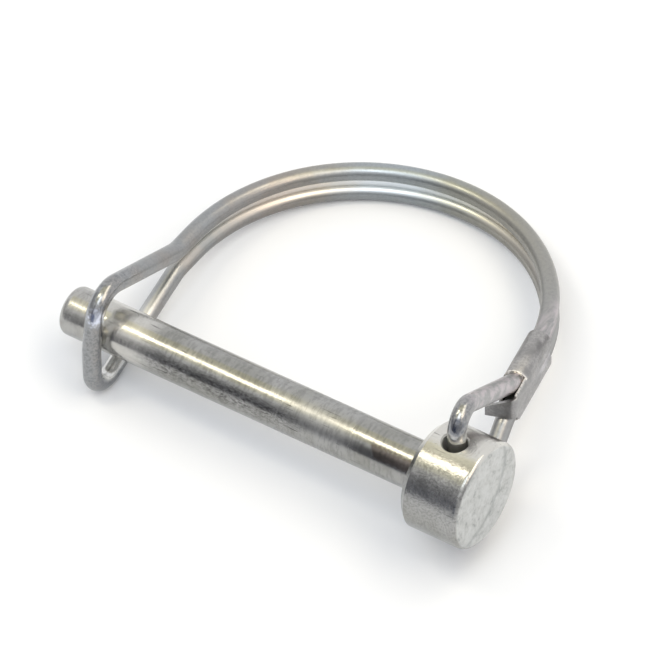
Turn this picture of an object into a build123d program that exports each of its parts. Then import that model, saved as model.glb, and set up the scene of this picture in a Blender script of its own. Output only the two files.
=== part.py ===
from build123d import *
from math import cos, radians, sin
import os

os.makedirs("parts", exist_ok=True)

# Wire lock pin: a turned pin with a sprung wire bail hung in its head.
# The bail's loop snaps over the tip, and a crimped sleeve closes the wire near the head.
# Lengths are in millimetres. The origin is on the pin's axis at the head's shoulder.
# Along the pin, the head is ahead (+X) and the tip behind (-X); the bail reaches to the side (+Y).

# How the whole pin lies on a table: it rests on the head bend, the loop and the bow
roll = -9.0
pitch = -3.9

# The turned pin
shank_diameter = 10.0
shank_length = 82.0
tip_rounding = 1.5
head_diameter = 22.0
head_length = 13.0
shoulder_chamfer = 1.2
head_rounding = 1.2
hole_from_shoulder = 5.9
hole_break = 0.3

# The wire and its play in the cross hole
wire_diameter = 3.7
hole_play = 1.3
hole_seat_gap = 0.15
strand_gap = 1.3

# The bail at the head: bends just outside the cross hole, then two legs that meet in the sleeve
head_bend_clearance = 8.2
head_bend_inside = 1.75
sleeve_reach = 10.0
sleeve_setback = 2.6
sleeve_lean = 10.4
upper_leg_foot = 6.2
lower_leg_foot = 1.5
leg_bend = 5.0

# The bow, from the sleeve round to the loop
bow_straight = 17.5
bow_end_reach = 22.9

# The loop that goes round the shank
loop_from_tip = 9.65
loop_shank_gap = 0.3
loop_fork_reach = 17.0
loop_top_reach = 7.9
loop_bottom_reach = 8.3
loop_top_lead = 2.4
loop_top_bend = 5.5
loop_bottom_bend = 4.6
loop_fork_bend = 7.0
loop_front_bend = 24.0

# The crimped sheet sleeve
sleeve_wall = 0.7
crimp_bite = 0.04
sleeve_top = 18.6
sleeve_upper_end = 6.4
sleeve_lower_end = 3.2
wire_butt = 12.5
wire_butt_gap = 0.4
notch_rise = 4.0
tongue_drop = 1.2
tab_tip_rise = 1.0
tab_reach = 3.4
tab_lean = 0.9
tab_bend_inside = 0.5
valley_radius = 1.5
valley_depth = 0.4
valley_length = 7.0

# Values that follow from the sizes above
shank_radius = shank_diameter / 2
head_radius = head_diameter / 2
wire_radius = wire_diameter / 2
hole_diameter = wire_diameter + hole_play
strand_height = (wire_diameter + strand_gap) / 2
lean = radians(sleeve_lean)

lying = Plane.XY.rotated((roll, 0, 0)).rotated((0, pitch, 0))
turning = Plane(lying.origin, x_dir=lying.x_dir, z_dir=-lying.y_dir)


# The pin: shank and head turned in one piece, drilled across the head
with BuildPart() as pin:
    with BuildSketch(turning) as profile:
        with BuildLine():
            Polyline(
                (-shank_length, 0),
                (-shank_length, shank_radius),
                (0, shank_radius),
                (0, head_radius),
                (head_length, head_radius),
                (head_length, 0),
                close=True,
            )
        make_face()
        corners = profile.vertices().filter_by(lambda corner: corner.Y > 0).sort_by(Axis.X)
        fillet(corners[0], radius=tip_rounding)
        rims = profile.vertices().group_by(Axis.Y)[-1].sort_by(Axis.X)
        chamfer(rims[0], length=shoulder_chamfer)
        rims = profile.vertices().group_by(Axis.Y)[-1].sort_by(Axis.X)
        fillet(rims[-1], radius=head_rounding)
    revolve(axis=Axis(lying.origin, lying.x_dir))
    with BuildSketch(lying):
        with Locations((hole_from_shoulder, 0)):
            Circle(hole_diameter / 2)
    extrude(amount=head_diameter, both=True, mode=Mode.SUBTRACT)
    hole_rims = pin.edges(Select.LAST).filter_by(GeomType.LINE, reverse=True)
    chamfer(hole_rims, length=hole_break)

pin.part.label = "pin"
export_step(pin.part, "parts/pin.step")


# The bail's route, from one end of the wire in the sleeve round to the other
hole_seat = hole_play / 2 - hole_seat_gap
foot_x = hole_from_shoulder - sleeve_setback
foot_y = head_radius + sleeve_reach
head_bend_height = head_radius + head_bend_clearance
head_bend = head_bend_inside + wire_radius


def sleeve_point(along, height):
    """A point on the sleeve's line, at this length from its foot."""
    return (foot_x - along * sin(lean), foot_y + along * cos(lean), height)


# Two arcs that meet square at the crown and reach just from the sleeve's line to the loop
loop_x = loop_from_tip - shank_length
bow_start = sleeve_point(bow_straight, 0)
bow_end_y = shank_radius + bow_end_reach
bow_span = bow_start[0] - loop_x
bow_rise = bow_start[1] - bow_end_y
head_arc = (bow_span - bow_rise) / (cos(lean) + 1 - sin(lean))
loop_arc = bow_span - head_arc * cos(lean)
crown_x = loop_x + loop_arc
crown_y = bow_end_y + loop_arc


def bow(height):
    """One strand of the bow, at its own level."""
    CenterArc((crown_x, crown_y - head_arc, height), head_arc, sleeve_lean, 90 - sleeve_lean)
    CenterArc((crown_x, crown_y - loop_arc, height), loop_arc, 90, 90)


loop_front = -(shank_radius + wire_radius + loop_shank_gap)
fork_y = shank_radius + loop_fork_reach
loop_top = shank_radius + loop_top_reach
loop_bottom = -(shank_radius + loop_bottom_reach)

with BuildLine(lying) as route:
    Line(sleeve_point(wire_butt + wire_butt_gap, strand_height), sleeve_point(bow_straight, strand_height))
    bow(strand_height)
    FilletPolyline(
        (loop_x, bow_end_y, strand_height),
        (loop_x, fork_y, strand_height),
        (loop_x, loop_front + loop_top_lead, loop_top),
        (loop_x, loop_front, 0),
        (loop_x, loop_front, loop_bottom),
        (loop_x, fork_y, -strand_height),
        (loop_x, bow_end_y, -strand_height),
        radius=[loop_fork_bend, loop_top_bend, loop_front_bend, loop_bottom_bend, loop_fork_bend],
    )
    bow(-strand_height)
    FilletPolyline(
        sleeve_point(bow_straight, -strand_height),
        sleeve_point(lower_leg_foot, -strand_height),
        (hole_from_shoulder, hole_seat, -head_bend_height),
        (hole_from_shoulder, hole_seat, head_bend_height),
        sleeve_point(upper_leg_foot, strand_height),
        sleeve_point(wire_butt, strand_height),
        radius=[leg_bend, head_bend, head_bend, leg_bend],
    )

with BuildPart() as wire_bail:
    centreline = Wire(route.edges())
    with BuildSketch(Plane(centreline @ 0, z_dir=centreline % 0)):
        Circle(wire_radius)
    sweep(path=centreline)

wire_bail.part.label = "wire_bail"
export_step(wire_bail.part, "parts/wire_bail.step")


# The sleeve: oval sheet tube crimped over both strands, notched where they part.
# Between the strands a tongue of the wall runs on, and its end is folded in as a stop.
sleeve = Plane(lying.location * Location((foot_x, foot_y, 0), (0, 0, 90 + sleeve_lean)))
across = Plane(sleeve.origin, x_dir=sleeve.z_dir, z_dir=sleeve.x_dir)
side = Plane(sleeve.origin, x_dir=sleeve.x_dir, z_dir=-sleeve.y_dir)
folding = Plane(sleeve.origin, x_dir=sleeve.x_dir, z_dir=-sleeve.z_dir)

cavity_half = wire_radius - crimp_bite
cavity_height = 2 * (strand_height + cavity_half)
outer_half = cavity_half + sleeve_wall
sleeve_height = cavity_height + 2 * sleeve_wall
tab_bend = tab_bend_inside + sleeve_wall
beyond = sleeve_height


# The flat flanks are pressed in between the strands by two round bars, deepest at the top end
valley_planes = []
for flank in (1, -1):
    bar_height = outer_half + valley_radius
    start = folding.from_local_coords((sleeve_top - valley_length, flank * bar_height))
    end = folding.from_local_coords((sleeve_top, flank * (bar_height - valley_depth)))
    valley_planes.append(Plane(start, z_dir=end - start))

with BuildPart() as grooves:
    with BuildSketch(*valley_planes):
        Circle(valley_radius)
    extrude(amount=2 * valley_length)

with BuildPart() as ridges:
    with BuildSketch(*valley_planes):
        Circle(valley_radius + sleeve_wall)
    extrude(amount=2 * valley_length)
    with BuildSketch(across):
        SlotOverall(cavity_height, 2 * cavity_half)
    extrude(amount=sleeve_top, mode=Mode.INTERSECT)

with BuildPart() as ferrule:
    with BuildSketch(across.offset(tab_bend)):
        SlotOverall(sleeve_height, 2 * outer_half)
        SlotOverall(cavity_height, 2 * cavity_half, mode=Mode.SUBTRACT)
    extrude(amount=sleeve_top - tab_bend)
    add(ridges.part)
    add(grooves.part, mode=Mode.SUBTRACT)
    with BuildSketch(side):
        with BuildLine():
            Polyline(
                (-beyond, beyond),
                (sleeve_upper_end, beyond),
                (sleeve_upper_end, notch_rise),
                (-beyond, notch_rise),
                close=True,
            )
        make_face()
        with BuildLine():
            Polyline(
                (-beyond, -beyond),
                (sleeve_lower_end, -beyond),
                (sleeve_lower_end, -notch_rise),
                (sleeve_lower_end - notch_rise + tongue_drop, -tongue_drop),
                (-beyond, -tongue_drop),
                close=True,
            )
        make_face()
    extrude(amount=beyond, both=True, mode=Mode.SUBTRACT)
    with BuildSketch(side.offset(cavity_half)):
        with BuildLine():
            Polyline(
                (-beyond, beyond),
                (sleeve_upper_end, beyond),
                (sleeve_upper_end, notch_rise),
                (sleeve_lower_end, -notch_rise),
                (sleeve_lower_end, -beyond),
                (-beyond, -beyond),
                close=True,
            )
        make_face()
    extrude(amount=-beyond, mode=Mode.SUBTRACT)
    with BuildSketch(folding.offset(-notch_rise)):
        with BuildLine():
            FilletPolyline(
                (tab_bend, outer_half),
                (0, outer_half),
                (-tab_lean, -tab_reach),
                radius=tab_bend,
            )
            offset(amount=sleeve_wall, side=Side.LEFT)
        make_face()
    extrude(amount=notch_rise + tongue_drop)
    with BuildSketch(across.offset(tab_bend)):
        with BuildLine():
            Polyline(
                (notch_rise, outer_half),
                (tab_tip_rise, -tab_reach),
                (tab_tip_rise, -beyond),
                (beyond, -beyond),
                (beyond, outer_half),
                close=True,
            )
        make_face()
    extrude(amount=-beyond, mode=Mode.SUBTRACT)

ferrule.part.label = "ferrule"
export_step(ferrule.part, "parts/ferrule.step")
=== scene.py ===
import math

import bmesh
import bpy
from mathutils import Matrix, Vector


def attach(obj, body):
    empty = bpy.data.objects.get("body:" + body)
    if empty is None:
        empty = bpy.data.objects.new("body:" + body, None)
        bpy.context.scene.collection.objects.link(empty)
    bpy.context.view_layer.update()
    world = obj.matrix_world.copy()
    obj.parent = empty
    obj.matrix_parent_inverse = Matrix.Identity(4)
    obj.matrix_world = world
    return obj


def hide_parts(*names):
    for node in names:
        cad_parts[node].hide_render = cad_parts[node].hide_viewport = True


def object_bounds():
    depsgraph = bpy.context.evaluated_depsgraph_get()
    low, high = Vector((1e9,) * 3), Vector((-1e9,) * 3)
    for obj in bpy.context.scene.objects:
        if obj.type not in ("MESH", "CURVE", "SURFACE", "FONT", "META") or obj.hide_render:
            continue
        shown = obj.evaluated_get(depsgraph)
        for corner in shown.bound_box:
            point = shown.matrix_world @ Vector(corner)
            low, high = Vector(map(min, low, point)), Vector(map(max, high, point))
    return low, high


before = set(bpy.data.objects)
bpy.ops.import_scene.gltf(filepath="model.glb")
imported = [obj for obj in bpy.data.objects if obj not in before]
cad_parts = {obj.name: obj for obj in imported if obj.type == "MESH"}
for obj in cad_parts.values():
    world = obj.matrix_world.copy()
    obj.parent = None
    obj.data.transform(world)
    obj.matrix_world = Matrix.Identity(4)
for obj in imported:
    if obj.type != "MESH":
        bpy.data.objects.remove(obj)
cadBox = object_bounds()
print("frame loaded")


# sRGB hex to the linear values that shaders work in
def hexColour(code):
    channels = [int(code[i:i + 2], 16) / 255 for i in (1, 3, 5)]
    linear = [c / 12.92 if c <= 0.04045 else ((c + 0.055) / 1.055) ** 2.4 for c in channels]
    return (*linear, 1.0)


# Adds one node, sets its properties, and fills or links its inputs
def addNode(tree, kind, settings=None, inputs=None):
    node = tree.nodes.new(kind)
    for name, value in (settings or {}).items():
        setattr(node, name, value)
    for name, value in (inputs or {}).items():
        if isinstance(value, bpy.types.NodeSocket):
            tree.links.new(value, node.inputs[name])
        else:
            node.inputs[name].default_value = value
    return node


def newMaterial(name):
    material = bpy.data.materials.new(name)
    material.use_nodes = True
    return material, material.node_tree, material.node_tree.nodes["Principled BSDF"]


# Settings that many nodes share
smooth = {"interpolation_type": "SMOOTHSTEP"}
colours = {"data_type": "RGBA"}
darken = {"data_type": "RGBA", "blend_type": "MULTIPLY"}
product = {"operation": "MULTIPLY"}


# A pair of values as the From or the To limits of a node
def limits(side, pair):
    return {side + " Min": pair[0], side + " Max": pair[1]}


# Stops are (position, hex) pairs
def fillRamp(node, stops):
    ramp = node.color_ramp
    while len(ramp.elements) < len(stops):
        ramp.elements.new(0.5)
    for element, (position, code) in zip(ramp.elements, stops):
        element.position = position
        element.color = hexColour(code)


# How the pin and its bail lie on the table. Patterns are laid in their own frame, straight along the pin
lie = (math.radians(-9.0), math.radians(-3.9), 0)
upright = (-0.067178, 0.156434, 0.985401)    # the up of that frame


# Where a point is: the place node, the place in that frame, and its X, Y and Z there
def ownFrame(tree):
    place = addNode(tree, "ShaderNodeTexCoord")
    own = addNode(tree, "ShaderNodeMapping", {"vector_type": "TEXTURE"},
                  {"Vector": place.outputs["Object"], "Rotation": lie})
    part = addNode(tree, "ShaderNodeSeparateXYZ", None, {"Vector": own.outputs["Vector"]})
    return place, own.outputs["Vector"], part.outputs


# How far a value is from a middle one, on either side
def farFrom(tree, value, middle):
    off = addNode(tree, "ShaderNodeMath", {"operation": "SUBTRACT"}, {0: value, 1: middle})
    far = addNode(tree, "ShaderNodeMath", {"operation": "ABSOLUTE"}, {0: off.outputs[0]})
    return far.outputs[0]


# The pin
pinFinish = {
    "metal": "#A9A9A8",
    "cloudy": "#979793",
    "cloudSize": 9.0,                 # mm, patches where the zinc is duller
    "roughness": (0.18, 0.28),
    "grain": "#6E6E6D",
    "grainSize": 0.26,                # mm, crystals of the zinc, drawn coarser than they are
    "streakSize": (0.3, 1.0),         # mm along and round the shank
    "grainShade": (0.34, 0.44),       # how dark the grain is, on the shank and on the head
    "grainDepth": (0.8, 1.0),         # how deep it is, on the shank and on the head
    "grainRelief": 0.00003,           # m
    "feedMark": 0.42,                 # mm between turning marks; real ones are about 0.1, too fine to show
    "ringBreaks": 90,                 # to the m, how often a mark changes on its way round
    "ringDepth": (0.2, 1.0),          # on the plain shank, and where the tool chattered and round the rim
    "ringRelief": 0.00004,            # m
    "chatterAt": (-0.023, 0.012),     # m along the axis, middle and half length of the most marked stretch
    "chatterDull": 0.1,
    "stretchFull": 0.35,              # share of a half length that is marked in full
    "scratch": "#5C5B5A",
    "scratchSize": (5.0, 0.28),       # mm long and wide
    "paintedUnderShade": "#CFCFCE",               # painted shade: faces low down and underneath are darker by this
    "paintedUnderShadeShare": (0.22, 0.2),        # how much, on the shank and on the head
    "paintedUnderShadeFrom": (0.42, 0.25),        # how far a face looks up where it starts and where it is full
    "pit": "#3E3D3B",
    "pitSize": (0.9, 0.3),            # mm along and across, small cracks on both sides
    "pitsAt": (-0.045, 0.024),        # m along the axis, middle and half length of the cracked stretch
    "pitsTop": (0.0038, 0.0024),      # m up from the axis, where they begin and where they are most
    "pitsFoot": (-0.0020, 0.0012),    # m up from the axis, where they are few again and where most
    "pitsShare": (0.15, 0.85),        # how plain they are, where few and where most
    "stainAndDarkReflection": "#C8BDB7",               # painted dark reflection, brown, on the shank in front of the head, darker by this
    "darkReflectionAt": (-0.0008, 0.0070),     # m along the axis, middle and half length
    "darkReflectionSlant": 0.9,                # how much further it reaches along for each m up
    "darkReflectionHeight": (0.0031, 0.0013),  # m up from the axis, middle and half height
    "darkReflectionRagged": 0.0016,            # m, how far its edge wanders
    "darkReflectionSoft": (0.0008, 0.0001),    # m past the half sizes, where it starts and where it is full
    "headFrom": -0.0004,              # m along the axis
    "faceFrom": 0.0127,
    "turnOver": 0.0002,               # m, over which one surface goes over into the next
    "rimFrom": (0.0100, 0.0115),
    "paintedBoreLight": "#E8E8E6",                # painted light in the cross hole, against the shade there
    "boreRoughness": 0.6,
    "holeAt": 0.0059,
    "holeRadius": 0.00252,
    "paintedLightTone": "#DCDAD5",              # painted light on the shank under the loop and on the head behind the bail's upper bend
    "loopFrom": (-0.059, -0.065),     # m along the axis, where that starts and where it is full
    "loopShare": 0.6,
    "tipFrom": (-0.0775, -0.0735),    # m along the axis, less bright at the first and in full at the second
    "tipShare": 0.3,
    "headBack": (-0.0060, -0.0010),   # m across, the side of the head that the bail covers
    "headBackShare": 0.85,
    "headTop": (0.0050, 0.0085),      # m up from the axis
    "endFace": "#BDBEBC",
    "endPale": "#CBCCCB",
    "endScuff": "#8F9292",
    "endRoughness": 0.42,
    "smudges": 0.65,                  # to the mm, mottle of the end face
    "scuffRound": (-0.0075, 0.0065, 0.0139),    # m, middle and radius of an arc that something wore
    "scuffWander": 0.0022,            # m, how far the arc strays
    "scuffHalf": 0.0009,              # m, half its width
    "scuffShade": 0.5,
}


# Small dark cracks in the zinc, in a band just above the axis: where they are, from 0 to 1. The photo shows
# them low on the front, and the far side has them too
def crackMask(tree, finish, own, part, cracked):
    pitLong, pitWide = (1000 / size for size in finish["pitSize"])
    pitPlace = addNode(tree, "ShaderNodeVectorMath", product, {0: own, 1: (pitLong, pitWide, pitWide)})
    pit = addNode(tree, "ShaderNodeTexNoise", None,
                  {"Vector": pitPlace.outputs["Vector"], "Scale": 1.0, "Detail": 5.0, "Roughness": 0.82})
    least, most = finish["pitsShare"]
    low = addNode(tree, "ShaderNodeMapRange", None,
                  {"Value": part["Z"], **limits("From", finish["pitsTop"]), "To Max": most})
    fade = addNode(tree, "ShaderNodeMapRange", None,
                   {"Value": part["Z"], **limits("From", finish["pitsFoot"]), "To Min": least})
    band = addNode(tree, "ShaderNodeMath", product, {0: low.outputs["Result"], 1: fade.outputs["Result"]})
    lowCracks = addNode(tree, "ShaderNodeMath", product, {0: band.outputs[0], 1: cracked})
    pitted = addNode(tree, "ShaderNodeMapRange", None,
                     {"Value": pit.outputs["Fac"], "From Min": 0.48, "From Max": 0.57,
                      "To Max": lowCracks.outputs[0]})
    return pitted.outputs["Result"]


# Painted light, from 0 to 1: on the shank inside the loop, and on the head behind the bail's upper bend
def paintedLightMask(tree, finish, part, onHead):
    underLoop = addNode(tree, "ShaderNodeMapRange", smooth,
                        {"Value": part["X"], **limits("From", finish["loopFrom"]),
                         "To Max": finish["loopShare"]})
    behind = addNode(tree, "ShaderNodeMapRange", smooth,
                     {"Value": part["Y"], **limits("From", finish["headBack"]),
                      "To Max": finish["headBackShare"]})
    high = addNode(tree, "ShaderNodeMapRange", smooth,
                   {"Value": part["Z"], **limits("From", finish["headTop"])})
    headBehind = addNode(tree, "ShaderNodeMath", product, {0: behind.outputs["Result"], 1: onHead})
    headTop = addNode(tree, "ShaderNodeMath", product,
                      {0: headBehind.outputs[0], 1: high.outputs["Result"]})
    tip = addNode(tree, "ShaderNodeMapRange", smooth,
                  {"Value": part["X"], **limits("From", finish["tipFrom"]), "To Min": finish["tipShare"]})
    insideLoop = addNode(tree, "ShaderNodeMath", product,
                         {0: underLoop.outputs["Result"], 1: tip.outputs["Result"]})
    paintedLightShare = addNode(tree, "ShaderNodeMath", {"operation": "MAXIMUM"},
                        {0: insideLoop.outputs[0], 1: headTop.outputs[0]})
    return paintedLightShare.outputs[0]


# A painted dark reflection, brown, on the shank in front of the head, with a ragged edge
def darkReflectionMask(tree, finish, part, speckle, onHead):
    slanted = addNode(tree, "ShaderNodeMath", {"operation": "MULTIPLY_ADD"},
                      {0: part["Z"], 1: finish["darkReflectionSlant"], 2: part["X"]})
    soft, full = finish["darkReflectionSoft"]
    darkReflectionEdges = []
    stretches = ((slanted.outputs[0], finish["darkReflectionAt"]), (part["Z"], finish["darkReflectionHeight"]))
    for value, (middle, half) in stretches:
        ragged = addNode(tree, "ShaderNodeMath", {"operation": "MULTIPLY_ADD"},
                         {0: speckle, 1: finish["darkReflectionRagged"], 2: farFrom(tree, value, middle)})
        darkReflectionEdges.append(addNode(tree, "ShaderNodeMapRange", smooth,
                                  {"Value": ragged.outputs[0], "From Min": half + soft,
                                   "From Max": half + full}))
    inFront = addNode(tree, "ShaderNodeMath", {"operation": "LESS_THAN"}, {0: part["Y"], 1: 0.0})
    darkReflectionLong = addNode(tree, "ShaderNodeMath", product,
                        {0: darkReflectionEdges[0].outputs["Result"], 1: inFront.outputs[0]})
    darkReflectionPatch = addNode(tree, "ShaderNodeMath", product,
                         {0: darkReflectionLong.outputs[0], 1: darkReflectionEdges[1].outputs["Result"]})
    darkReflectionShank = addNode(tree, "ShaderNodeMath", {"operation": "SUBTRACT", "use_clamp": True},
                         {0: darkReflectionPatch.outputs[0], 1: onHead})
    return darkReflectionShank.outputs[0]


# The flat end: paler and dull, finely mottled, with an arc where something rubbed it
def endColour(tree, finish, own, across):
    smudge = addNode(tree, "ShaderNodeTexNoise", None,
                     {"Vector": own, "Scale": 1000 * finish["smudges"], "Detail": 6.0, "Roughness": 0.75,
                      "Distortion": 0.1})
    face = addNode(tree, "ShaderNodeValToRGB", None, {"Fac": smudge.outputs["Fac"]})
    fillRamp(face, [(0.3, finish["endScuff"]), (0.45, finish["endFace"]), (0.62, finish["endPale"])])
    scuffY, scuffZ, scuffRadius = finish["scuffRound"]
    fromScuff = addNode(tree, "ShaderNodeVectorMath", {"operation": "SUBTRACT"},
                        {0: across, 1: (0, scuffY, scuffZ)})
    scuffReach = addNode(tree, "ShaderNodeVectorMath", {"operation": "LENGTH"},
                         {0: fromScuff.outputs["Vector"]})
    wander = addNode(tree, "ShaderNodeMath", {"operation": "MULTIPLY_ADD"},
                     {0: smudge.outputs["Fac"], 1: finish["scuffWander"], 2: scuffReach.outputs["Value"]})
    nearScuff = farFrom(tree, wander.outputs[0], scuffRadius + finish["scuffWander"] / 2)
    scuffed = addNode(tree, "ShaderNodeMapRange", smooth,
                      {"Value": nearScuff, "From Min": finish["scuffHalf"], "From Max": 0.0,
                       "To Max": finish["scuffShade"]})
    faceWorn = addNode(tree, "ShaderNodeMix", colours,
                       {0: scuffed.outputs["Result"], 6: face.outputs["Color"],
                        7: hexColour(finish["endScuff"])})
    return faceWorn.outputs[2]


# Bright zinc on turned steel. Rings left by the tool run round it, and the zinc over them is grainy and
# cloudy, so a highlight stays narrow round the shank but is broken into short dashes along it
def zincOnTurnedSteel(finish):
    material, tree, shader = newMaterial("zincOnTurnedSteel")
    place, own, part = ownFrame(tree)
    across = addNode(tree, "ShaderNodeCombineXYZ", None, {"Y": part["Y"], "Z": part["Z"]})
    radius = addNode(tree, "ShaderNodeVectorMath", {"operation": "LENGTH"}, {0: across.outputs["Vector"]})
    # distance along the tool's path: it grows along the shank and outwards over the flat faces
    travel = addNode(tree, "ShaderNodeMath", {"operation": "ADD"},
                     {0: part["X"], 1: radius.outputs["Value"]})
    path = addNode(tree, "ShaderNodeCombineXYZ", None,
                   {"X": travel.outputs[0], "Y": part["Y"], "Z": part["Z"]})

    # where the head, its rim, its face, the cross hole, the chatter and the cracks are
    edge = finish["turnOver"]
    onHead = addNode(tree, "ShaderNodeMapRange", None,
                     {"Value": part["X"], "From Min": finish["headFrom"],
                      "From Max": finish["headFrom"] + edge})
    onRim = addNode(tree, "ShaderNodeMapRange", smooth,
                    {"Value": part["X"], **limits("From", finish["rimFrom"])})
    onFace = addNode(tree, "ShaderNodeMapRange", None,
                     {"Value": part["X"], "From Min": finish["faceFrom"],
                      "From Max": finish["faceFrom"] + edge})
    fromHole = addNode(tree, "ShaderNodeMath", {"operation": "SUBTRACT"},
                       {0: part["X"], 1: finish["holeAt"]})
    holePlan = addNode(tree, "ShaderNodeCombineXYZ", None, {"X": fromHole.outputs[0], "Y": part["Y"]})
    holeReach = addNode(tree, "ShaderNodeVectorMath", {"operation": "LENGTH"},
                        {0: holePlan.outputs["Vector"]})
    inHole = addNode(tree, "ShaderNodeMath", {"operation": "LESS_THAN"},
                     {0: holeReach.outputs["Value"], 1: finish["holeRadius"]})
    masks = []
    for middle, half in (finish["chatterAt"], finish["pitsAt"]):
        masks.append(addNode(tree, "ShaderNodeMapRange", smooth,
                             {"Value": farFrom(tree, part["X"], middle), "From Min": half,
                              "From Max": half * finish["stretchFull"]}))
    chatter, cracked = masks

    # broad clouds: duller and brighter zinc
    cloud = addNode(tree, "ShaderNodeTexNoise", None,
                    {"Vector": own, "Scale": 1000 / finish["cloudSize"], "Detail": 3.0, "Roughness": 0.55})
    # round grain on the head, and grain drawn out by the tool on the shank
    speckle = addNode(tree, "ShaderNodeTexNoise", None,
                      {"Vector": own, "Scale": 500 / finish["grainSize"], "Detail": 3.0, "Roughness": 0.7})
    alongStreak, roundStreak = (500 / size for size in finish["streakSize"])
    streakPlace = addNode(tree, "ShaderNodeVectorMath", product,
                          {0: path.outputs["Vector"], 1: (alongStreak, roundStreak, roundStreak)})
    streak = addNode(tree, "ShaderNodeTexNoise", None,
                     {"Vector": streakPlace.outputs["Vector"], "Scale": 1.0, "Detail": 3.0,
                      "Roughness": 0.65})
    grain = addNode(tree, "ShaderNodeMix", None,
                    {0: onHead.outputs["Result"], 2: streak.outputs["Fac"], 3: speckle.outputs["Fac"]})
    # turning marks
    breaks = finish["ringBreaks"]
    markPlace = addNode(tree, "ShaderNodeVectorMath", product,
                        {0: path.outputs["Vector"], 1: (1000 / finish["feedMark"], breaks, breaks)})
    marks = addNode(tree, "ShaderNodeTexNoise", None,
                    {"Vector": markPlace.outputs["Vector"], "Scale": 1.0, "Detail": 1.5, "Roughness": 0.5})
    # short scratches along the pin
    scratchLong, scratchWide = (1000 / size for size in finish["scratchSize"])
    scratchPlace = addNode(tree, "ShaderNodeVectorMath", product,
                           {0: own, 1: (scratchLong, scratchWide, scratchWide)})
    scratch = addNode(tree, "ShaderNodeTexNoise", None,
                      {"Vector": scratchPlace.outputs["Vector"], "Scale": 1.0, "Detail": 2.0,
                       "Roughness": 0.5, "Distortion": 0.6})
    scratched = addNode(tree, "ShaderNodeMapRange", None,
                        {"Value": scratch.outputs["Fac"], "From Min": 0.66, "From Max": 0.74})

    # colour
    tint = addNode(tree, "ShaderNodeValToRGB", None, {"Fac": cloud.outputs["Fac"]})
    fillRamp(tint, [(0.35, finish["cloudy"]), (0.6, finish["metal"])])
    speck = addNode(tree, "ShaderNodeMapRange", None,
                    {"Value": onHead.outputs["Result"], **limits("To", finish["grainShade"])})
    dark = addNode(tree, "ShaderNodeMapRange", None,
                   {"Value": grain.outputs[0], "From Min": 0.54, "From Max": 0.4,
                    "To Max": speck.outputs["Result"]})
    body = addNode(tree, "ShaderNodeMix", colours,
                   {0: dark.outputs["Result"], 6: tint.outputs["Color"], 7: hexColour(finish["grain"])})
    # painted light under the loop and on the head behind the bail's upper bend
    paintedLightShare = paintedLightMask(tree, finish, part, onHead.outputs["Result"])
    lightened = addNode(tree, "ShaderNodeMix", colours,
                     {0: paintedLightShare, 6: body.outputs[2], 7: hexColour(finish["paintedLightTone"])})
    wearAndGlint = addNode(tree, "ShaderNodeMix", colours,
                   {0: scratched.outputs["Result"], 6: lightened.outputs[2], 7: hexColour(finish["scratch"])})
    pitted = crackMask(tree, finish, own, part, cracked.outputs["Result"])
    cracks = addNode(tree, "ShaderNodeMix", colours,
                     {0: pitted, 6: wearAndGlint.outputs[2], 7: hexColour(finish["pit"])})
    # painted dark reflection on the shank in front of the head
    stainAndDarkReflection = darkReflectionMask(tree, finish, part, speckle.outputs["Fac"], onHead.outputs["Result"])
    darkReflected = addNode(tree, "ShaderNodeMix", darken,
                      {0: stainAndDarkReflection, 6: cracks.outputs[2], 7: hexColour(finish["stainAndDarkReflection"])})
    # painted light in the cross hole
    boreLit = addNode(tree, "ShaderNodeMix", colours,
                    {0: inHole.outputs[0], 6: darkReflected.outputs[2], 7: hexColour(finish["paintedBoreLight"])})
    # painted shade: darker low down and underneath
    turned = addNode(tree, "ShaderNodeVectorMath", {"operation": "DOT_PRODUCT"},
                     {0: place.outputs["Normal"], 1: upright})
    underShadeAmount = addNode(tree, "ShaderNodeMapRange", None,
                      {"Value": onHead.outputs["Result"], **limits("To", finish["paintedUnderShadeShare"])})
    paintedUnderShade = addNode(tree, "ShaderNodeMapRange", smooth,
                    {"Value": turned.outputs["Value"], **limits("From", finish["paintedUnderShadeFrom"]),
                     "To Max": underShadeAmount.outputs["Result"]})
    underShaded = addNode(tree, "ShaderNodeMix", darken,
                     {0: paintedUnderShade.outputs["Result"], 6: boreLit.outputs[2], 7: hexColour(finish["paintedUnderShade"])})
    flatEnd = endColour(tree, finish, own, across.outputs["Vector"])
    colour = addNode(tree, "ShaderNodeMix", colours,
                     {0: onFace.outputs["Result"], 6: underShaded.outputs[2], 7: flatEnd})
    tree.links.new(colour.outputs[2], shader.inputs["Base Color"])

    # roughness
    dull = addNode(tree, "ShaderNodeMapRange", None,
                   {"Value": cloud.outputs["Fac"], "From Min": 0.4, "From Max": 0.66,
                    **limits("To", finish["roughness"])})
    chattered = addNode(tree, "ShaderNodeMath", {"operation": "MULTIPLY_ADD"},
                        {0: chatter.outputs["Result"], 1: finish["chatterDull"], 2: dull.outputs["Result"]})
    rough = addNode(tree, "ShaderNodeMix", None,
                    {0: onFace.outputs["Result"], 2: chattered.outputs[0], 3: finish["endRoughness"]})
    boreRough = addNode(tree, "ShaderNodeMix", None,
                        {0: inHole.outputs[0], 2: rough.outputs[0], 3: finish["boreRoughness"]})
    tree.links.new(boreRough.outputs[0], shader.inputs["Roughness"])

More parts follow.
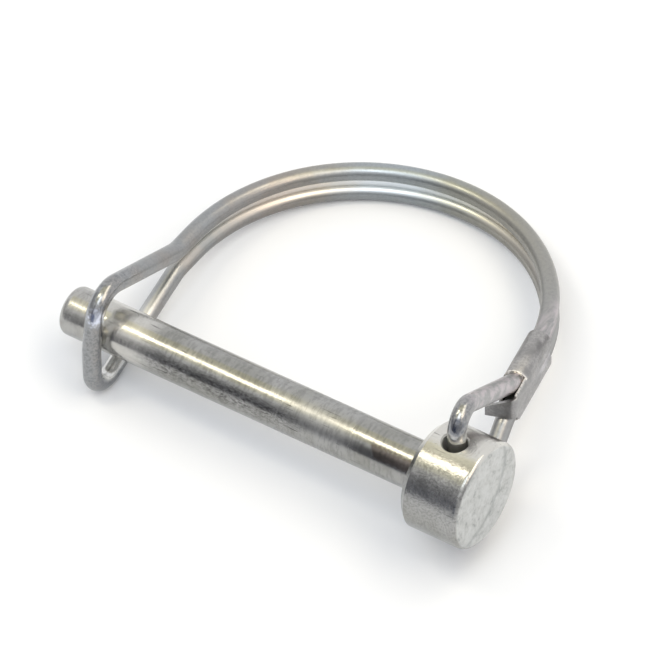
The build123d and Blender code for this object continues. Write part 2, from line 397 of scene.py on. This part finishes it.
    # relief: the rings are plain where the tool chattered and round the rim, and faint elsewhere
    marked = addNode(tree, "ShaderNodeMath", {"operation": "MAXIMUM"},
                     {0: chatter.outputs["Result"], 1: onRim.outputs["Result"]})
    ringDepth = addNode(tree, "ShaderNodeMapRange", None,
                        {"Value": marked.outputs[0], **limits("To", finish["ringDepth"])})
    ringBump = addNode(tree, "ShaderNodeBump", None,
                       {"Height": marks.outputs["Fac"], "Strength": ringDepth.outputs["Result"],
                        "Distance": finish["ringRelief"]})
    grainDepth = addNode(tree, "ShaderNodeMapRange", None,
                         {"Value": onHead.outputs["Result"], **limits("To", finish["grainDepth"])})
    grainBump = addNode(tree, "ShaderNodeBump", None,
                        {"Height": grain.outputs[0], "Strength": grainDepth.outputs["Result"],
                         "Distance": finish["grainRelief"], "Normal": ringBump.outputs["Normal"]})
    tree.links.new(grainBump.outputs["Normal"], shader.inputs["Normal"])
    shader.inputs["Metallic"].default_value = 1.0
    return material


# The wire
wireFinish = {
    # where along the pin, from 0 at the loop to 1 at the head, and the tint there
    "tints": [(0.03, "#9C9EA0"), (0.1, "#A09A95"), (0.17, "#A19E99"), (0.23, "#A6ABAF"), (0.37, "#A4ABB0"),
              (0.47, "#A0A19B"), (0.6, "#9F9D96"), (0.78, "#A09F9B"), (0.9, "#A1A1A1")],
    "from": -0.075,                   # m along the pin, where that is 0
    "to": 0.010,                      # and where it is 1
    "drift": 0.03,                    # how far the clouds move a tint
    "cloudSize": 7.0,                 # mm, duller patches
    "roughness": (0.28, 0.38),
    "bendRoughness": 0.19,
    "bendsWithin": (0.010, 0.005),    # m out from the pin, where that starts and where it is full
    "spot": "#76787B",
    "grainSize": 0.3,                 # mm, mottle of the zinc
    "spotShade": (0.65, 0.22),        # how plain it is, beside the pin and further out
    "spotFade": (0.004, 0.010),       # m out from the pin
    "spotRelief": 0.00004,            # m
    # painted light between the strands, in their tints, against the dark of the gap
    "between": [(0.03, "#B0B0AD"), (0.1, "#CFC4BA"), (0.17, "#D1CBC1"), (0.24, "#D2D8DD"), (0.37, "#CDD5DB"),
                (0.47, "#BFC1BA"), (0.58, "#C3BEB3"), (0.66, "#B3AFA8"), (0.76, "#A3A19D"),
                (0.9, "#A1A1A1")],
    "betweenLevel": (0.0020, 0.0012),    # m from the plane midway, where they start and where they are full
    "bowFrom": (0.017, 0.024),        # m out from the pin
    "rosy": "#BDB6B9",                # streaks along the upper leg: a rosy tint, and lighter as a painted highlight
    "rosyBreaks": (900, 200, 900),    # to the m, along the pin, out from it, and up
    "rosyAlong": (-0.004, 0.0),       # m along the pin, where they start and where they are full
    "rosyOut": (0.003, 0.008),        # m out from the pin, the same way
    "paintedUnderLight": "#F2F2F0",               # painted light under the upper strand and inside the loop
    "loopAlong": (-0.060, -0.066),    # m along the pin
    "loopOut": (0.020, 0.012),        # m out from the pin
    "loopFacing": (-0.2, -0.7),       # how far a face looks at the pin
    "loopShare": 0.6,
    "rubbedAndLit": "#DADAD8",              # rubbed bright in the cross hole, and lighter still as painted light in that recess
    "holeLitReach": 0.003,             # m from the middle of the hole
    "holeLitLevel": (0.0145, 0.0118),  # m up or down, where that starts and where it is full
    # painted reflection on the outside of two bends, dark blue at the head bend and pale blue at the loop:
    # m, tint and share
    "bends": [((0.0053, 0.0018, 0.0157), "#5A6070", 0.5), ((-0.0717, -0.0056, 0.0045), "#E4E9F8", 0.85)],
    "bentReach": (0.0048, 0.0034),    # m from there, where it starts and where it is full
    "bentRagged": 0.005,              # m, how far its edge wanders
    "paintedUnderShade": "#CBCBCA",               # painted shade: darker by this underneath
    "paintedUnderShadeShare": (0.2, 0.7),         # how much, beside the pin and on the bow
    "paintedUnderShadeFrom": (0.45, 0.1),         # how far a face looks up where it starts and where it is full
}


# Rosy streaks along the upper leg beside the head, partly a painted highlight: where they are, from 0 to 1
def rosyHighlightMask(tree, finish, own, part, upper):
    streakPlace = addNode(tree, "ShaderNodeVectorMath", product, {0: own, 1: finish["rosyBreaks"]})
    streak = addNode(tree, "ShaderNodeTexNoise", None,
                     {"Vector": streakPlace.outputs["Vector"], "Scale": 1.0, "Detail": 2.0,
                      "Roughness": 0.6})
    onLegs = addNode(tree, "ShaderNodeMapRange", smooth,
                     {"Value": part["X"], **limits("From", finish["rosyAlong"]), "To Max": upper})
    offBend = addNode(tree, "ShaderNodeMapRange", smooth,
                      {"Value": part["Y"], **limits("From", finish["rosyOut"]),
                       "To Max": onLegs.outputs["Result"]})
    rosy = addNode(tree, "ShaderNodeMapRange", None,
                   {"Value": streak.outputs["Fac"], "From Min": 0.4, "From Max": 0.6,
                    "To Max": offBend.outputs["Result"]})
    return rosy.outputs["Result"]


# The sides of the loop that face the pin, given painted light
def loopMask(tree, finish, place, own, part):
    fromAxis = addNode(tree, "ShaderNodeVectorMath", product, {0: own, 1: (0, 1, 1)})
    outwards = addNode(tree, "ShaderNodeVectorMath", {"operation": "NORMALIZE"},
                       {0: fromAxis.outputs["Vector"]})
    facing = addNode(tree, "ShaderNodeVectorMath", {"operation": "DOT_PRODUCT"},
                     {0: place.outputs["Normal"], 1: outwards.outputs["Vector"]})
    inwards = addNode(tree, "ShaderNodeMapRange", smooth,
                      {"Value": facing.outputs["Value"], **limits("From", finish["loopFacing"])})
    nearTip = addNode(tree, "ShaderNodeMapRange", None,
                      {"Value": part["X"], **limits("From", finish["loopAlong"])})
    offBow = addNode(tree, "ShaderNodeMapRange", None,
                     {"Value": part["Y"], **limits("From", finish["loopOut"])})
    onLoop = addNode(tree, "ShaderNodeMath", product,
                     {0: nearTip.outputs["Result"], 1: offBow.outputs["Result"]})
    inLoop = addNode(tree, "ShaderNodeMath", product, {0: inwards.outputs["Result"], 1: onLoop.outputs[0]})
    partly = addNode(tree, "ShaderNodeMath", product, {0: inLoop.outputs[0], 1: finish["loopShare"]})
    return partly.outputs[0]


# The straight stretch in the cross hole, rubbed bright and given painted light there
def rubbedAndLitMask(tree, finish, own, level):
    fromHole = addNode(tree, "ShaderNodeVectorMath", {"operation": "SUBTRACT"},
                       {0: own, 1: (pinFinish["holeAt"], 0, 0)})
    holePlan = addNode(tree, "ShaderNodeVectorMath", product, {0: fromHole.outputs["Vector"], 1: (1, 1, 0)})
    holeReach = addNode(tree, "ShaderNodeVectorMath", {"operation": "LENGTH"},
                        {0: holePlan.outputs["Vector"]})
    inHole = addNode(tree, "ShaderNodeMath", {"operation": "LESS_THAN"},
                     {0: holeReach.outputs["Value"], 1: finish["holeLitReach"]})
    deep = addNode(tree, "ShaderNodeMapRange", smooth,
                   {"Value": level, **limits("From", finish["holeLitLevel"])})
    holeLit = addNode(tree, "ShaderNodeMath", product, {0: inHole.outputs[0], 1: deep.outputs["Result"]})
    return holeLit.outputs[0]


# Bright zinc on drawn spring wire: shiny, faintly yellow, blue and rosy from the clear passivation over it,
# and mottled where it was handled. Painted light, painted shade and painted reflections lie over it in
# places
def zincOnSpringWire(finish):
    material, tree, shader = newMaterial("zincOnSpringWire")
    place, own, part = ownFrame(tree)
    cloud = addNode(tree, "ShaderNodeTexNoise", None,
                    {"Vector": own, "Scale": 1000 / finish["cloudSize"], "Detail": 3.0, "Roughness": 0.55})
    mottle = addNode(tree, "ShaderNodeTexNoise", None,
                     {"Vector": own, "Scale": 500 / finish["grainSize"], "Detail": 4.0, "Roughness": 0.68})
    run = addNode(tree, "ShaderNodeMapRange", None,
                  {"Value": part["X"], "From Min": finish["from"], "From Max": finish["to"]})
    drift = addNode(tree, "ShaderNodeMapRange", None,
                    {"Value": cloud.outputs["Fac"], "From Min": 0.3, "From Max": 0.7,
                     "To Min": -finish["drift"], "To Max": finish["drift"]})
    where = addNode(tree, "ShaderNodeMath", {"operation": "ADD"},
                    {0: run.outputs["Result"], 1: drift.outputs["Result"]})
    tint = addNode(tree, "ShaderNodeValToRGB", None, {"Fac": where.outputs[0]})
    fillRamp(tint, finish["tints"])
    # the mottle is plain at the legs and the loop, nearest the pin, and faint round the bow
    bare = addNode(tree, "ShaderNodeMapRange", None,
                   {"Value": part["Y"], **limits("From", finish["spotFade"]),
                    **limits("To", finish["spotShade"])})
    dark = addNode(tree, "ShaderNodeMapRange", None,
                   {"Value": mottle.outputs["Fac"], "From Min": 0.56, "From Max": 0.38,
                    "To Max": bare.outputs["Result"]})
    spotted = addNode(tree, "ShaderNodeMix", colours,
                      {0: dark.outputs["Result"], 6: tint.outputs["Color"], 7: hexColour(finish["spot"])})
    upper = addNode(tree, "ShaderNodeMath", {"operation": "GREATER_THAN"}, {0: part["Z"], 1: 0.0})
    rosy = rosyHighlightMask(tree, finish, own, part, upper.outputs[0])
    streaked = addNode(tree, "ShaderNodeMix", colours,
                       {0: rosy, 6: spotted.outputs[2], 7: hexColour(finish["rosy"])})
    # painted light on the sides of the two strands that face each other
    level = addNode(tree, "ShaderNodeMath", {"operation": "ABSOLUTE"}, {0: part["Z"]})
    inner = addNode(tree, "ShaderNodeMapRange", smooth,
                    {"Value": level.outputs[0], **limits("From", finish["betweenLevel"])})
    onBow = addNode(tree, "ShaderNodeMapRange", None,
                    {"Value": part["Y"], **limits("From", finish["bowFrom"])})
    between = addNode(tree, "ShaderNodeMath", product,
                      {0: inner.outputs["Result"], 1: onBow.outputs["Result"]})
    gapLightTint = addNode(tree, "ShaderNodeValToRGB", None, {"Fac": where.outputs[0]})
    fillRamp(gapLightTint, finish["between"])
    bright = addNode(tree, "ShaderNodeMix", colours,
                     {0: between.outputs[0], 6: streaked.outputs[2], 7: gapLightTint.outputs["Color"]})
    # painted light under the upper strand and inside the loop
    roofed = addNode(tree, "ShaderNodeMath", product, {0: upper.outputs[0], 1: between.outputs[0]})
    underLightMask = addNode(tree, "ShaderNodeMath", {"operation": "MAXIMUM"},
                     {0: roofed.outputs[0], 1: loopMask(tree, finish, place, own, part)})
    brighter = addNode(tree, "ShaderNodeMix", colours,
                       {0: underLightMask.outputs[0], 6: bright.outputs[2], 7: hexColour(finish["paintedUnderLight"])})
    # rubbed bright in the cross hole, and painted light in that recess
    rubbedAndLit = addNode(tree, "ShaderNodeMix", colours,
                     {0: rubbedAndLitMask(tree, finish, own, level.outputs[0]), 6: brighter.outputs[2],
                      7: hexColour(finish["rubbedAndLit"])})
    # painted shade: darker underneath, but not on the sides given painted light
    turned = addNode(tree, "ShaderNodeVectorMath", {"operation": "DOT_PRODUCT"},
                     {0: place.outputs["Normal"], 1: upright})
    underShadeAmount = addNode(tree, "ShaderNodeMapRange", None,
                      {"Value": onBow.outputs["Result"], **limits("To", finish["paintedUnderShadeShare"])})
    paintedUnderShade = addNode(tree, "ShaderNodeMapRange", smooth,
                    {"Value": turned.outputs["Value"], **limits("From", finish["paintedUnderShadeFrom"]),
                     "To Max": underShadeAmount.outputs["Result"]})
    openAir = addNode(tree, "ShaderNodeMath", {"operation": "SUBTRACT", "use_clamp": True},
                      {0: paintedUnderShade.outputs["Result"], 1: underLightMask.outputs[0]})
    underShaded = addNode(tree, "ShaderNodeMix", darken,
                     {0: openAir.outputs[0], 6: rubbedAndLit.outputs[2], 7: hexColour(finish["paintedUnderShade"])})
    # painted reflection, bluish, on the outside of two bends
    last = underShaded.outputs[2]
    for bend, blue, share in finish["bends"]:
        reach = addNode(tree, "ShaderNodeVectorMath", {"operation": "DISTANCE"},
                        {0: place.outputs["Object"], 1: bend})
        ragged = addNode(tree, "ShaderNodeMath", {"operation": "MULTIPLY_ADD"},
                         {0: mottle.outputs["Fac"], 1: finish["bentRagged"], 2: reach.outputs["Value"]})
        bendReflection = addNode(tree, "ShaderNodeMapRange", None,
                            {"Value": ragged.outputs[0], **limits("From", finish["bentReach"]),
                             "To Max": share})
        bent = addNode(tree, "ShaderNodeMix", colours,
                       {0: bendReflection.outputs["Result"], 6: last, 7: hexColour(blue)})
        last = bent.outputs[2]
    tree.links.new(last, shader.inputs["Base Color"])

    # the bends and the loop are shinier than the bow
    dull = addNode(tree, "ShaderNodeMapRange", None,
                   {"Value": cloud.outputs["Fac"], "From Min": 0.38, "From Max": 0.64,
                    **limits("To", finish["roughness"])})
    nearPin = addNode(tree, "ShaderNodeMapRange", None,
                      {"Value": part["Y"], **limits("From", finish["bendsWithin"])})
    rough = addNode(tree, "ShaderNodeMix", None,
                    {0: nearPin.outputs["Result"], 2: dull.outputs["Result"], 3: finish["bendRoughness"]})
    tree.links.new(rough.outputs[0], shader.inputs["Roughness"])
    bump = addNode(tree, "ShaderNodeBump", None,
                   {"Height": mottle.outputs["Fac"], "Strength": bare.outputs["Result"],
                    "Distance": finish["spotRelief"]})
    tree.links.new(bump.outputs["Normal"], shader.inputs["Normal"])
    shader.inputs["Metallic"].default_value = 1.0
    return material


# The sleeve
sleeveFinish = {
    "metal": "#B3B1B1",
    "stainAndDarkReflection": "#8F8E8E",
    "stainSize": 2.2,                 # mm
    "grainSize": 0.24,                # mm
    "grainShade": 0.6,
    "grainDepth": 0.7,
    "grainRelief": 0.00004,           # m
    "roughness": (0.34, 0.48),
    "hollow": 0.00045,                # m, how far the flank is pressed in at the top end
    "hollowAt": (0.0026, 0.0021),     # m up from the pin's axis, middle and half width of it
    "hollowFloor": 0.2,               # share of that half width that is flat
    "hollowFrom": 0.0315,             # m out from the pin where it starts
    "hollowRun": 0.005,               # m further where it is full
    "markWander": 0.0018,             # m, how far the two marks along it stray
    "markShade": 0.65,
    "paintedCreaseShade": "#6C6A6B",              # painted shade along the hollow's edge
    "paintedCreaseShadeAt": (0.0043, 0.0005),     # m up from the pin's axis, middle and half width
    "paintedSheen": "#D4D2D6",               # a painted sheen, a lighter patch on the hollow
    "paintedSheenAt": (0.0, 0.0014),
    "wearAndGlint": "#ECE8E2",                # painted highlight along the notch's edge
    "line": (-0.16961, 0.97149, -0.16579),      # direction of the sleeve
    "foot": (0.003516, 0.020741, -0.003053),    # m, where that line begins, midway between the strands
    "notchEnd": 0.02646,              # m along that line
    "notchSide": 0.0040,              # m up from the pin's axis
    "notchOver": 0.0004,              # m, how far the bright line runs past the corner
    "notchFade": (0.0005, 0.0002),    # m from the edge, where it starts and where it is full
    "notchShare": 0.6,                # along the side of the notch
    "cutFrom": 0.0025,                # m beyond the foot, past the folded stop
    "cutFacing": 0.8,                 # how far a face looks along the sleeve's line to be a cut one
    "edgeRound": 0.0002,              # m asked for; the clamp in makeSleeve leaves less than 0.00001
    "edgeAngle": 40,                  # degrees, from which an edge is a cut one
    "sharpAngle": 50,                 # degrees, from which the light breaks at an edge
    "flatAngle": 0.5,                 # degrees, under which two faces are one
    "sameVertex": 0.000001,           # m
}
# Where the sheet was cut, bare bright steel, lighter still as a painted highlight; the inside gets the same
# metal as painted light
cutAndInsideLitFinish = dict(sleeveFinish, metal="#E4E0DC", stainAndDarkReflection="#A09E9C", roughness=(0.2, 0.3), grainDepth=1.0)


# A thin painted highlight along the notch, broken by the grain: where it is, from 0 to 1
def notchMask(tree, finish, place, part, grain):
    along = addNode(tree, "ShaderNodeVectorMath", {"operation": "DOT_PRODUCT"},
                    {0: place.outputs["Object"], 1: finish["line"]})
    edges = []
    for value, edge in ((along.outputs["Value"], finish["notchEnd"]), (part["Z"], finish["notchSide"])):
        edges.append(addNode(tree, "ShaderNodeMapRange", None,
                             {"Value": farFrom(tree, value, edge), **limits("From", finish["notchFade"])}))
    over = addNode(tree, "ShaderNodeMath", {"operation": "GREATER_THAN"},
                   {0: part["Z"], 1: finish["notchSide"] - finish["notchOver"]})
    before = addNode(tree, "ShaderNodeMath", {"operation": "LESS_THAN"},
                     {0: along.outputs["Value"], 1: finish["notchEnd"]})
    end = addNode(tree, "ShaderNodeMath", product, {0: edges[0].outputs["Result"], 1: over.outputs[0]})
    side = addNode(tree, "ShaderNodeMath", product, {0: edges[1].outputs["Result"], 1: before.outputs[0]})
    flank = addNode(tree, "ShaderNodeMath", product, {0: side.outputs[0], 1: finish["notchShare"]})
    notch = addNode(tree, "ShaderNodeMath", {"operation": "MAXIMUM"},
                    {0: end.outputs[0], 1: flank.outputs[0]})
    broken = addNode(tree, "ShaderNodeMapRange", None,
                     {"Value": grain, "From Min": 0.42, "From Max": 0.5, "To Min": 0.25})
    glinting = addNode(tree, "ShaderNodeMath", product, {0: notch.outputs[0], 1: broken.outputs["Result"]})
    return glinting.outputs[0]


# Zinc on pressed sheet steel: duller than the wire, cloudy, with painted shade and a painted sheen along the
# pressed hollow, and a painted highlight along the notch
def zincOnSheetSteel(name, finish):
    material, tree, shader = newMaterial(name)
    place, own, part = ownFrame(tree)
    stainAndDarkReflection = addNode(tree, "ShaderNodeTexNoise", None,
                    {"Vector": own, "Scale": 500 / finish["stainSize"], "Detail": 5.0, "Roughness": 0.62,
                     "Distortion": 0.3})
    grain = addNode(tree, "ShaderNodeTexNoise", None,
                    {"Vector": own, "Scale": 500 / finish["grainSize"], "Detail": 3.0, "Roughness": 0.68})
    tone = addNode(tree, "ShaderNodeValToRGB", None, {"Fac": stainAndDarkReflection.outputs["Fac"]})
    fillRamp(tone, [(0.36, finish["stainAndDarkReflection"]), (0.58, finish["metal"])])
    fine = addNode(tree, "ShaderNodeMapRange", None,
                   {"Value": grain.outputs["Fac"], "From Min": 0.54, "From Max": 0.42,
                    "To Max": finish["grainShade"]})
    colour = addNode(tree, "ShaderNodeMix", colours,
                     {0: fine.outputs["Result"], 6: tone.outputs["Color"], 7: hexColour(finish["stainAndDarkReflection"])})
    # the painted shade and the painted sheen along the hollow
    start = finish["hollowFrom"]
    deeper = addNode(tree, "ShaderNodeMapRange", smooth,
                     {"Value": part["Y"], "From Min": start, "From Max": start + finish["hollowRun"]})
    stray = addNode(tree, "ShaderNodeMath", {"operation": "MULTIPLY_ADD"},
                    {0: stainAndDarkReflection.outputs["Fac"], 1: finish["markWander"], 2: part["Z"]})
    last = colour.outputs[2]
    for mark in ("paintedCreaseShade", "paintedSheen"):
        middle, half = finish[mark + "At"]
        strayed = farFrom(tree, stray.outputs[0], middle + finish["markWander"] / 2)
        near = addNode(tree, "ShaderNodeMapRange", smooth,
                       {"Value": strayed, "From Min": half, "From Max": 0.0, "To Max": finish["markShade"]})
        inHollow = addNode(tree, "ShaderNodeMath", product,
                           {0: near.outputs["Result"], 1: deeper.outputs["Result"]})
        marked = addNode(tree, "ShaderNodeMix", colours,
                         {0: inHollow.outputs[0], 6: last, 7: hexColour(finish[mark])})
        last = marked.outputs[2]
    # painted highlight along the notch
    glinting = notchMask(tree, finish, place, part, grain.outputs["Fac"])
    edged = addNode(tree, "ShaderNodeMix", colours, {0: glinting, 6: last, 7: hexColour(finish["wearAndGlint"])})
    tree.links.new(edged.outputs[2], shader.inputs["Base Color"])
    dull = addNode(tree, "ShaderNodeMapRange", None,
                   {"Value": stainAndDarkReflection.outputs["Fac"], "From Min": 0.35, "From Max": 0.65,
                    **limits("To", finish["roughness"])})
    tree.links.new(dull.outputs["Result"], shader.inputs["Roughness"])
    # the press left the flank hollow, deeper towards the top end
    middle, half = finish["hollowAt"]
    dip = addNode(tree, "ShaderNodeMapRange", smooth,
                  {"Value": farFrom(tree, part["Z"], middle), "From Min": half,
                   "From Max": half * finish["hollowFloor"], "To Max": -1.0})
    hollow = addNode(tree, "ShaderNodeMath", product,
                     {0: dip.outputs["Result"], 1: deeper.outputs["Result"]})
    hollowBump = addNode(tree, "ShaderNodeBump", None,
                         {"Height": hollow.outputs[0], "Distance": finish["hollow"]})
    bump = addNode(tree, "ShaderNodeBump", None,
                   {"Height": grain.outputs["Fac"], "Strength": finish["grainDepth"],
                    "Distance": finish["grainRelief"], "Normal": hollowBump.outputs["Normal"]})
    tree.links.new(bump.outputs["Normal"], shader.inputs["Normal"])
    shader.inputs["Metallic"].default_value = 1.0
    return material


# The crimped sleeve, with a second, brighter metal where the sheet was cut and on the inside, as painted
# light. The bevel on the cut edges is next to nothing: the clamp on overlaps, which the thin faces need,
# holds it under 0.01 mm, so they stay sharp
def makeSleeve(finish):
    bm = bmesh.new()
    bm.from_mesh(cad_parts["ferrule"].data)
    bmesh.ops.remove_doubles(bm, verts=bm.verts, dist=finish["sameVertex"])
    bmesh.ops.dissolve_limit(bm, verts=bm.verts, edges=bm.edges,
                             angle_limit=math.radians(finish["flatAngle"]))
    edgeAngle = math.radians(finish["edgeAngle"])
    cut = [e for e in bm.edges if len(e.link_faces) == 2 and e.calc_face_angle() > edgeAngle]
    cutCount = len(cut)
    bevelled = bmesh.ops.bevel(bm, geom=cut, offset=finish["edgeRound"], offset_type="OFFSET",
                               affect="EDGES", segments=2, profile=0.5, material=-1, clamp_overlap=True)
    bmesh.ops.recalc_face_normals(bm, faces=bm.faces)
    for face in bevelled["faces"]:
        face.material_index = 1
    # painted light on the thickness of the sheet, where it was cut off square, and on the inside
    line, foot = Vector(finish["line"]), Vector(finish["foot"])
    for face in bm.faces:
        face.smooth = True
        out = face.calc_center_median() - foot
        along = out.dot(line)
        inside = face.normal.dot(out - along * line) < 0
        square = abs(face.normal.dot(line)) > finish["cutFacing"]
        if along > finish["cutFrom"] and (inside or square):
            face.material_index = 1
    mesh = bpy.data.meshes.new("crimpedSleeve")
    mesh.materials.append(zincOnSheetSteel("zincOnSheetSteel", finish))
    mesh.materials.append(zincOnSheetSteel("paintedLightOnCutAndInside", cutAndInsideLitFinish))
    bm.to_mesh(mesh)
    bm.free()
    if "custom_normal" in mesh.attributes:
        mesh.attributes.remove(mesh.attributes["custom_normal"])
    mesh.set_sharp_from_angle(angle=math.radians(finish["sharpAngle"]))
    sleeve = bpy.data.objects.new("crimpedSleeve", mesh)
    bpy.context.scene.collection.objects.link(sleeve)
    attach(sleeve, "bail")
    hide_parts("ferrule")
    print("sleeve made,", cutCount, "cut edges")


def dress(nodeName, material):
    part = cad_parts[nodeName]
    part.data.materials.clear()
    part.data.materials.append(material)


dress("pin", zincOnTurnedSteel(pinFinish))
dress("wire_bail", zincOnSpringWire(wireFinish))
makeSleeve(sleeveFinish)
print("metals on")


# Floor, walls, screens and lamps
studio = {
    "floorHalf": 1.5,                 # m
    "floorTone": "#FCFCFC",
    "floorRoughness": 0.9,
    "walls": "#DBDEE3",
    "middle": (-0.03, 0.02),          # m, where the screens and lamps point
    "ceilingHalf": 0.42,              # m
    "ceilingAt": (-0.25, -0.05, 0.75),
    "ceilingTone": "#FFFBE2",
    "screenFoot": 0.001,              # m above the floor
    "screenSteps": 32,
    # name, tone, distance and height in m, and from where to where round the middle in degrees
    "screens": [
        ("greyScreen", "#C6C6C6", 0.52, 0.38, -185, -15),
        ("shankScreen", "#86868A", 0.50, 0.235, -121, -104),
        ("headScreen", "#74747A", 0.49, 0.56, -118.5, -104),
        ("blueScreen", "#5C6478", 0.50, 0.23, -104, -74),
    ],
    # name, place and size in m, watts and tint: cream towards the tip, white in the middle, warm at the head
    "lamps": [
        ("stripLeft", (-0.345, -0.112, 0.56), (0.13, 0.065), 0.235, "#FFF7DE"),
        ("stripHead", (-0.237, -0.065, 0.56), (0.08, 0.08), 0.23, "#FFF4E0"),
        ("broadMiddle", (0.02, -0.22, 0.62), (0.28, 0.28), 0.72, "#EDF5FF"),
        ("stripRight", (0.42, -0.005, 0.50), (0.30, 0.12), 0.32, "#FFEBD2"),
        ("overLegs", (0.20, 0.13, 0.62), (0.62, 0.22), 1.05, "#FFF5DC"),
    ],
}


def makeFloor():
    mesh = bpy.data.meshes.new("floor")
    bm = bmesh.new()
    bmesh.ops.create_grid(bm, x_segments=1, y_segments=1, size=studio["floorHalf"])
    bmesh.ops.translate(bm, verts=bm.verts, vec=(0, 0, cadBox[0][2]))
    bm.to_mesh(mesh)
    bm.free()
    floor = bpy.data.objects.new("floor", mesh)
    bpy.context.scene.collection.objects.link(floor)
    material, _, shader = newMaterial("whitePaper")
    shader.inputs["Base Color"].default_value = hexColour(studio["floorTone"])
    shader.inputs["Roughness"].default_value = studio["floorRoughness"]
    shader.inputs["Specular IOR Level"].default_value = 0.0
    mesh.materials.append(material)


# Pale walls all round that light the pin, and plain white where they are seen
def makeWalls():
    world = bpy.data.worlds.new("studioWalls")
    bpy.context.scene.world = world
    world.use_nodes = True
    sky = world.node_tree
    path = addNode(sky, "ShaderNodeLightPath")
    seen = addNode(sky, "ShaderNodeMath", {"operation": "ADD"},
                   {0: path.outputs["Is Camera Ray"], 1: path.outputs["Is Glossy Ray"]})
    shown = addNode(sky, "ShaderNodeMath", {"operation": "ADD", "use_clamp": True},
                    {0: seen.outputs[0], 1: path.outputs["Is Transmission Ray"]})
    walls = addNode(sky, "ShaderNodeMix", colours,
                    {0: shown.outputs[0], 6: hexColour(studio["walls"]), 7: (1, 1, 1, 1)})
    sky.links.new(walls.outputs[2], sky.nodes["Background"].inputs["Color"])


# A card of an even tone that is seen in the metal, and neither by the camera nor by the light
def showOnlyInMetal(name, mesh, tone):
    card = bpy.data.objects.new(name, mesh)
    bpy.context.scene.collection.objects.link(card)
    material, _, shader = newMaterial(name + "Cloth")
    shader.inputs["Base Color"].default_value = (0, 0, 0, 1)
    shader.inputs["Specular IOR Level"].default_value = 0.0
    shader.inputs["Emission Color"].default_value = hexColour(tone)
    shader.inputs["Emission Strength"].default_value = 1.0
    mesh.materials.append(material)
    card.visible_camera = card.visible_diffuse = card.visible_shadow = False


# A curved screen that only shows in the metal: such screens draw the dark band along the pin
def makeScreen(name, tone, distance, height, fromAngle, toAngle):
    mesh = bpy.data.meshes.new(name)
    bm = bmesh.new()
    foot = cadBox[0][2] + studio["screenFoot"]
    low = bm.verts.new((distance, 0, foot))
    high = bm.verts.new((distance, 0, foot + height))
    edge = bm.edges.new((low, high))
    bmesh.ops.spin(bm, geom=[low, high, edge], cent=(0, 0, 0), axis=(0, 0, 1),
                   angle=math.radians(toAngle - fromAngle), steps=studio["screenSteps"])
    bmesh.ops.rotate(bm, verts=bm.verts, cent=(0, 0, 0),
                     matrix=Matrix.Rotation(math.radians(fromAngle), 3, "Z"))
    bmesh.ops.translate(bm, verts=bm.verts, vec=(*studio["middle"], 0))
    bm.to_mesh(mesh)
    bm.free()
    showOnlyInMetal(name, mesh, tone)


# The ceiling round the lamps glows cream in the metal
def makeCeiling():
    mesh = bpy.data.meshes.new("ceiling")
    bm = bmesh.new()
    bmesh.ops.create_grid(bm, x_segments=1, y_segments=1, size=studio["ceilingHalf"])
    bmesh.ops.translate(bm, verts=bm.verts, vec=studio["ceilingAt"])
    bm.to_mesh(mesh)
    bm.free()
    showOnlyInMetal("ceiling", mesh, studio["ceilingTone"])


def softBox(name, place, size, watts, tint):
    data = bpy.data.lights.new(name, "AREA")
    data.shape = "RECTANGLE"
    data.size, data.size_y = size
    data.energy = watts
    data.color = hexColour(tint)[:3]
    lamp = bpy.data.objects.new(name, data)
    lamp.location = place
    aim = Vector((*studio["middle"], 0)) - Vector(place)
    lamp.rotation_euler = aim.to_track_quat("-Z", "Y").to_euler()
    bpy.context.scene.collection.objects.link(lamp)


makeFloor()
makeWalls()
makeCeiling()
for screen in studio["screens"]:
    makeScreen(*screen)
for lamp in studio["lamps"]:
    softBox(*lamp)

# The camera, where the photograph was taken from
view = {
    "place": (0.54882, -0.80061, 1.36597),    # m
    "turn": (36.26, 1.995, 32.67),    # degrees
    "lens": 476.1,                    # mm
    "sensor": 36,                     # mm
}
cameraData = bpy.data.cameras.new("camera")
cameraData.lens = view["lens"]
cameraData.sensor_width = view["sensor"]
camera = bpy.data.objects.new("camera", cameraData)
camera.location = view["place"]
camera.rotation_euler = [math.radians(a) for a in view["turn"]]
bpy.context.scene.collection.objects.link(camera)
bpy.context.scene.camera = camera
bpy.context.scene.view_settings.view_transform = "Standard"
print("studio set")
